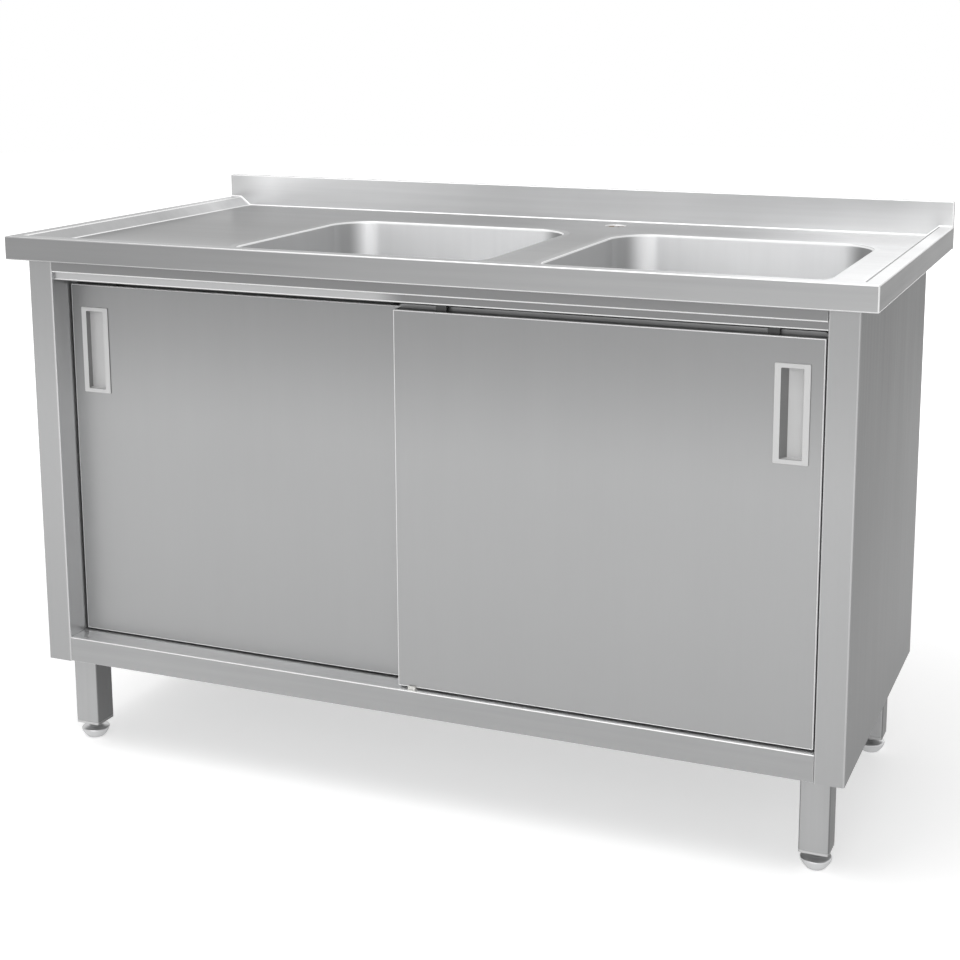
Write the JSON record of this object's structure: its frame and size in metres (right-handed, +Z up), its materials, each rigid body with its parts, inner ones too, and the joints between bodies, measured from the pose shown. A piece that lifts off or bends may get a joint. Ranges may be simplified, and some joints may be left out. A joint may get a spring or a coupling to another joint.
{
  "type": "kitchen sink unit",
  "caption": "Stainless steel sink unit: worktop with raised rim, recessed drainboard and pressed bowls, on a cupboard with sliding doors and square legs.",
  "frame": {"origin": "on the floor under the middle of the worktop", "axes": "+X to the right along the unit's length, seen from the front; +Y to the back; +Z up"},
  "size_m": [1.4, 0.7, 0.913],
  "materials": {
    "worktop_steel": "fine brushed stainless steel, satin",
    "sheet_steel": "fine brushed stainless sheet, satin",
    "door_steel": "fine brushed stainless sheet, satin",
    "bowl_steel": "pressed stainless steel, satin",
    "leg_steel": "brushed square tube",
    "polished_steel": "bright turned steel",
    "zinc_steel": "plain zinc-plated sheet",
    "grey_plastic": "light grey moulded plastic, semi-gloss",
    "dark_plastic": "dark moulded plastic",
    "white_nylon": "off-white nylon",
    "rubber": "matt black rubber",
    "board": "plain pale board, unvarnished"
  },
  "bodies": {
    "root": {"worktop": "worktop_steel", "drainboard_board": "board", "rear_board": "board", "front_batten": "board", "bowl_left": "bowl_steel", "waste_flange_left": "polished_steel", "waste_nut_left": "dark_plastic", "waste_body_left": "dark_plastic", "bowl_right": "bowl_steel", "waste_flange_right": "polished_steel", "waste_nut_right": "dark_plastic", "waste_body_right": "dark_plastic", "side_panel_left": "sheet_steel", "side_panel_right": "sheet_steel", "back_panel": "sheet_steel", "bottom_shelf": "sheet_steel", "shelf_stiffener": "zinc_steel", "front_top_rail": "sheet_steel", "rear_top_rail": "sheet_steel", "cross_brace_left": "zinc_steel", "cross_brace_middle": "zinc_steel", "front_track": "sheet_steel", "rear_track": "sheet_steel", "centre_guide": "white_nylon", "door_buffer_left": "rubber", "door_buffer_right": "rubber", "leg_front_left": "leg_steel", "leg_plate_front_left": "zinc_steel", "foot_insert_front_left": "grey_plastic", "leg_front_right": "leg_steel", "leg_plate_front_right": "zinc_steel", "foot_insert_front_right": "grey_plastic", "leg_rear_left": "leg_steel", "leg_plate_rear_left": "zinc_steel", "foot_insert_rear_left": "grey_plastic", "leg_rear_right": "leg_steel", "leg_plate_rear_right": "zinc_steel", "foot_insert_rear_right": "grey_plastic"},
    "front_door": {"front_door_skin": "door_steel", "front_door_back": "door_steel", "front_door_channel": "zinc_steel", "front_door_handle": "grey_plastic", "front_door_hanger_left": "zinc_steel", "front_door_hanger_right": "zinc_steel"},
    "rear_door": {"rear_door_skin": "door_steel", "rear_door_back": "door_steel", "rear_door_channel": "zinc_steel", "rear_door_handle": "grey_plastic", "rear_door_hanger_left": "zinc_steel", "rear_door_hanger_right": "zinc_steel"},
    "foot_front_left": {"foot_front_left": "polished_steel"},
    "foot_front_right": {"foot_front_right": "polished_steel"},
    "foot_rear_left": {"foot_rear_left": "polished_steel"},
    "foot_rear_right": {"foot_rear_right": "polished_steel"},
    "front_door_roller_left": {"front_door_roller_left": "white_nylon"},
    "front_door_roller_right": {"front_door_roller_right": "white_nylon"},
    "rear_door_roller_left": {"rear_door_roller_left": "white_nylon"},
    "rear_door_roller_right": {"rear_door_roller_right": "white_nylon"}
  },
  "joints": [
    {"name": "front_door_slide", "type": "slide", "parent": "root", "child": "front_door", "axis": [-1, 0, 0], "range_m": [0, 0.6015]},
    {"name": "rear_door_slide", "type": "slide", "parent": "root", "child": "rear_door", "axis": [1, 0, 0], "range_m": [0, 0.6015]},
    {"name": "front_door_roller_left_spin", "type": "hinge", "parent": "front_door", "child": "front_door_roller_left", "pos_m": [0.051, -0.307, 0.8115], "axis": [0, 1, 0], "range_deg": [-3200, 1]},
    {"name": "front_door_roller_right_spin", "type": "hinge", "parent": "front_door", "child": "front_door_roller_right", "pos_m": [0.5505, -0.307, 0.8115], "axis": [0, 1, 0], "range_deg": [-3200, 1]},
    {"name": "rear_door_roller_left_spin", "type": "hinge", "parent": "rear_door", "child": "rear_door_roller_left", "pos_m": [-0.5505, -0.273, 0.8115], "axis": [0, 1, 0], "range_deg": [-1, 3200]},
    {"name": "rear_door_roller_right_spin", "type": "hinge", "parent": "rear_door", "child": "rear_door_roller_right", "pos_m": [-0.051, -0.273, 0.8115], "axis": [0, 1, 0], "range_deg": [-1, 3200]},
    {"name": "foot_front_left_screw", "type": "slide", "parent": "root", "child": "foot_front_left", "axis": [0, 0, -1], "range_m": [-0.008, 0.02]},
    {"name": "foot_front_right_screw", "type": "slide", "parent": "root", "child": "foot_front_right", "axis": [0, 0, -1], "range_m": [-0.008, 0.02]},
    {"name": "foot_rear_left_screw", "type": "slide", "parent": "root", "child": "foot_rear_left", "axis": [0, 0, -1], "range_m": [-0.008, 0.02]},
    {"name": "foot_rear_right_screw", "type": "slide", "parent": "root", "child": "foot_rear_right", "axis": [0, 0, -1], "range_m": [-0.008, 0.02]}
  ],
  "couplings": [
    {"joint": "front_door_roller_left_spin", "follows": "front_door_slide", "rad_per_m": -90.909},
    {"joint": "front_door_roller_right_spin", "follows": "front_door_slide", "rad_per_m": -90.909},
    {"joint": "rear_door_roller_left_spin", "follows": "rear_door_slide", "rad_per_m": 90.909},
    {"joint": "rear_door_roller_right_spin", "follows": "rear_door_slide", "rad_per_m": 90.909}
  ]
}
